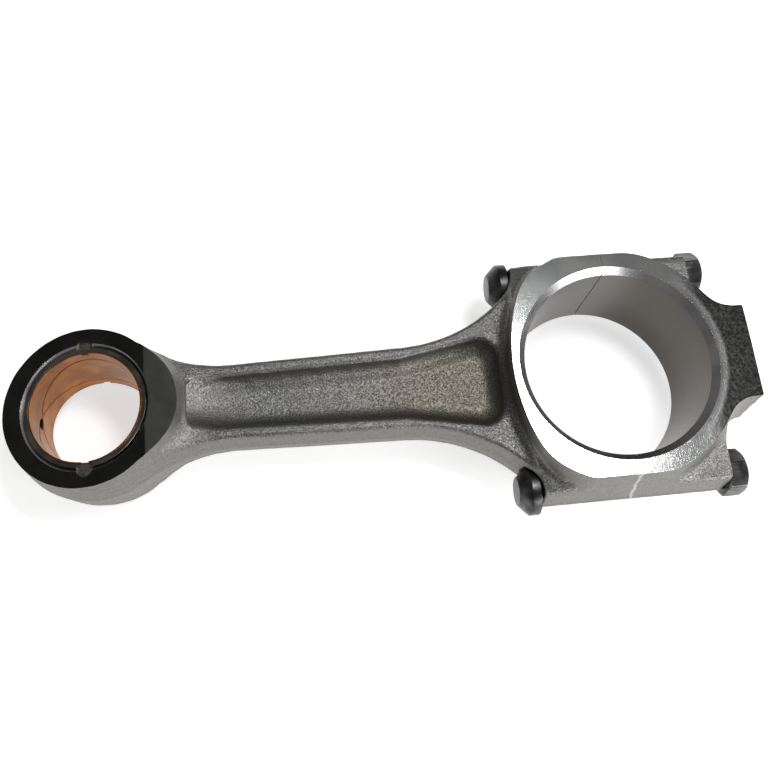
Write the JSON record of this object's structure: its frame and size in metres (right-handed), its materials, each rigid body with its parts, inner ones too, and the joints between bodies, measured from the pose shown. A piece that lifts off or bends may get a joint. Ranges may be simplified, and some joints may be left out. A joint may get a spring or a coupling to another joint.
{
  "type": "connecting rod",
  "caption": "Heavy-duty diesel connecting rod: forged I-beam shank, keystone small end with bushed pin bore, and split big end whose cap is held by through-bolts and nuts.",
  "frame": {"origin": "centre of the crankpin bore, midway between the machined faces of the big end", "axes": "+Z along both bores, +X from the small end towards the bearing cap, +Y across the rod towards one bolt"},
  "size_m": [0.3828, 0.1398, 0.062],
  "materials": {
    "forged_steel": "shot-blasted forging with ground faces",
    "bush_steel": "turned",
    "bronze": "fine bored",
    "black_steel": "black oxide"
  },
  "bodies": {
    "rod": {"rod_forging": "forged_steel", "bush_backing": "bush_steel", "bush_lining": "bronze"},
    "cap": {"bearing_cap": "forged_steel"},
    "upper_bolt": {"bolt_upper": "black_steel"},
    "lower_bolt": {"bolt_lower": "black_steel"},
    "upper_nut": {"nut_upper": "black_steel"},
    "lower_nut": {"nut_lower": "black_steel"}
  },
  "joints": [
    {"name": "cap_removal", "type": "slide", "parent": "rod", "child": "cap", "axis": [1, 0, 0], "range_m": [0, 0.07]},
    {"name": "upper_bolt_removal", "type": "slide", "parent": "rod", "child": "upper_bolt", "axis": [-1, 0, 0], "range_m": [0, 0.112]},
    {"name": "lower_bolt_removal", "type": "slide", "parent": "rod", "child": "lower_bolt", "axis": [-1, 0, 0], "range_m": [0, 0.112]},
    {"name": "upper_nut_removal", "type": "slide", "parent": "cap", "child": "upper_nut", "axis": [1, 0, 0], "range_m": [0, 0.03]},
    {"name": "lower_nut_removal", "type": "slide", "parent": "cap", "child": "lower_nut", "axis": [1, 0, 0], "range_m": [0, 0.03]}
  ]
}
